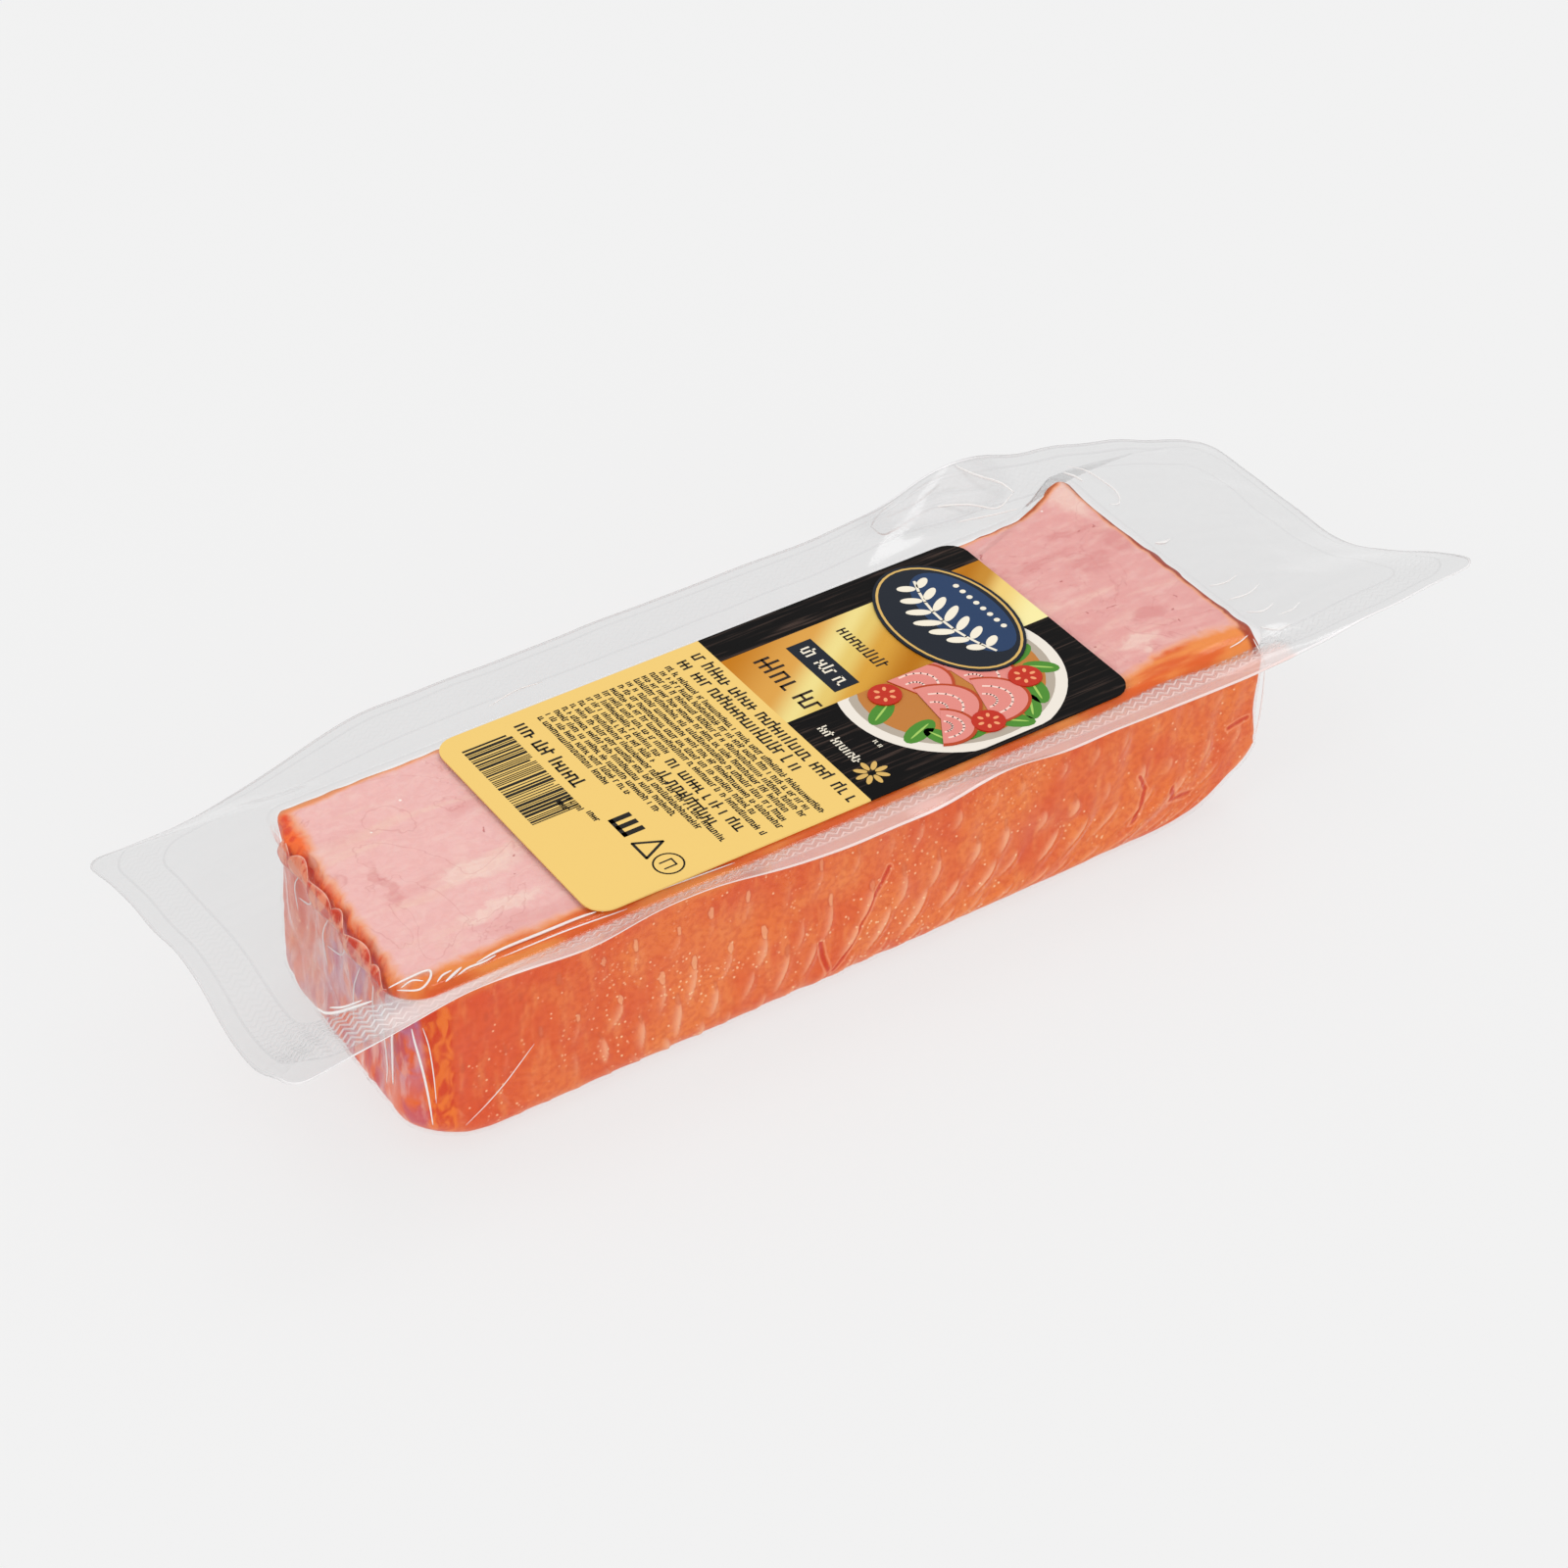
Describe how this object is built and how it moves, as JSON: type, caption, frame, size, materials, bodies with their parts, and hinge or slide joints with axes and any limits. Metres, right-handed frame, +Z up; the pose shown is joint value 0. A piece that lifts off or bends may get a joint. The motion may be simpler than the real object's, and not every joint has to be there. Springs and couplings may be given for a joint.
{
  "type": "vacuum pack of cooked smoked ham",
  "caption": "Block of cooked smoked ham in a clear thermoformed vacuum pack with a wide wavy sealing flange and a printed label on its flat top.",
  "frame": {"origin": "the middle of the flat underside that the pack rests on", "axes": "+X along the pack towards its wider flange end, +Y from the front long side to the back, +Z up"},
  "size_m": [0.233, 0.0728, 0.0414],
  "materials": {
    "clear_film": "clear glossy polyamide and polyethylene film, drawn tight over the ham and welded in a knurled band",
    "ham_meat": "cooked cured pork: pale pink cut face with creamy marbling and orange smoked sides, moist under the film",
    "label_paper": "satin coated label paper printed in warm yellow, black wood grain and gold",
    "label_ink": "dark and coloured printing ink on the label"
  },
  "bodies": {
    "root": {"vacuum_pack": "clear_film", "label": "label_paper"}
  },
  "joints": []
}
